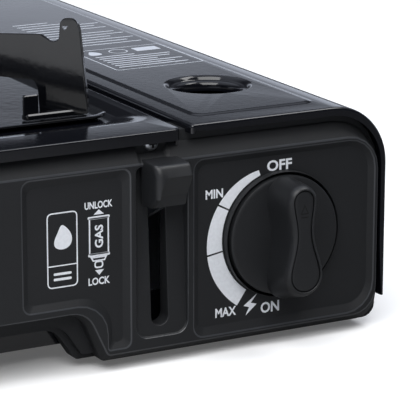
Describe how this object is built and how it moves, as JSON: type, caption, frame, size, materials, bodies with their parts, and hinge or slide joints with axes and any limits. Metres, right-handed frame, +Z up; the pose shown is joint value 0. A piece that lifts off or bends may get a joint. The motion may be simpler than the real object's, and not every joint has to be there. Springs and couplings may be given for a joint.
{
  "type": "camping stove",
  "caption": "Flat portable gas camping stove with burner, lift-off drip tray and pan supports, hinged cartridge cover, moulded front panel, gas knob and cartridge lock lever.",
  "frame": {"origin": "under the middle of the whole stove, on the surface that its rubber feet stand on", "axes": "+X to the right of a person facing the knob, +Y to the rear, +Z up"},
  "size_m": [0.343, 0.2864, 0.1182],
  "materials": {
    "casing_enamel": "gloss black baked paint on pressed steel",
    "tray_enamel": "gloss black vitreous enamel",
    "panel_plastic": "fine-grained moulded plastic",
    "knob_plastic": "smooth satin moulded plastic",
    "rubber": "matte rubber",
    "zinc_plate": "zinc-plated steel",
    "die_cast": "cast light alloy",
    "aluminium": "drawn aluminium",
    "brass": "turned brass",
    "ceramic": "unglazed white ceramic",
    "lead_sleeve": "silicone sleeve"
  },
  "bodies": {
    "casing": {"base_shell": "casing_enamel", "top_plate": "casing_enamel", "front_panel": "panel_plastic", "piezo_igniter": "panel_plastic", "seat_seal": "rubber", "foot_front_left": "rubber", "foot_rear_left": "rubber", "foot_front_right": "rubber", "foot_rear_right": "rubber", "bay_partition": "zinc_plate", "hinge_pin_front": "zinc_plate", "hinge_pin_rear": "zinc_plate", "hinge_bracket_front": "zinc_plate", "hinge_bracket_rear": "zinc_plate", "burner_bracket": "zinc_plate", "lever_pivot_pin": "zinc_plate", "lever_bracket": "zinc_plate", "slide_guide": "zinc_plate", "cartridge_guide": "zinc_plate", "cradle_front": "zinc_plate", "cradle_rear": "zinc_plate", "panel_screw_left": "zinc_plate", "panel_screw_right": "zinc_plate", "burner_screw_left": "zinc_plate", "burner_screw_right": "zinc_plate", "igniter_electrode": "zinc_plate", "regulator_body": "die_cast", "regulator_cap": "die_cast", "burner_bowl": "aluminium", "mixing_tube": "aluminium", "gas_pipe": "aluminium", "burner_cap": "brass", "jet_nozzle": "brass", "cartridge_seat": "brass", "pipe_nut": "brass", "electrode_insulator": "ceramic", "ignition_lead": "lead_sleeve"},
    "cover": {"cartridge_cover": "casing_enamel"},
    "trivet": {"drip_tray": "tray_enamel", "pan_support_front_left": "tray_enamel", "pan_support_rear_left": "tray_enamel", "pan_support_front_right": "tray_enamel", "pan_support_rear_right": "tray_enamel"},
    "knob": {"control_knob": "knob_plastic", "knob_pad": "knob_plastic", "valve_spindle": "zinc_plate"},
    "lever": {"lever_arm": "zinc_plate", "lever_cap": "knob_plastic", "crank_pin": "zinc_plate", "lever_spring": "zinc_plate"},
    "pusher": {"pusher_slide": "zinc_plate"}
  },
  "joints": [
    {"name": "cover_hinge", "type": "hinge", "parent": "casing", "child": "cover", "pos_m": [0.1692, 0, 0.0134], "axis": [0, 1, 0], "range_deg": [0, 95]},
    {"name": "trivet_lift", "type": "slide", "parent": "casing", "child": "trivet", "axis": [0, 0, 1], "range_m": [0, 0.06]},
    {"name": "knob_turn", "type": "hinge", "parent": "casing", "child": "knob", "pos_m": [0.1278, -0.1265, 0.0416], "axis": [0, -1, 0], "range_deg": [0, 170]},
    {"name": "lever_pivot", "type": "hinge", "parent": "casing", "child": "lever", "pos_m": [0.079, -0.0825, 0.04], "axis": [1, 0, 0], "range_deg": [0, 41]},
    {"name": "pusher_travel", "type": "slide", "parent": "casing", "child": "pusher", "axis": [0, -1, 0], "range_m": [0, 0.0092]}
  ],
  "couplings": [
    {"joint": "pusher_travel", "follows": "lever_pivot", "m_per_rad": 0.012577}
  ]
}
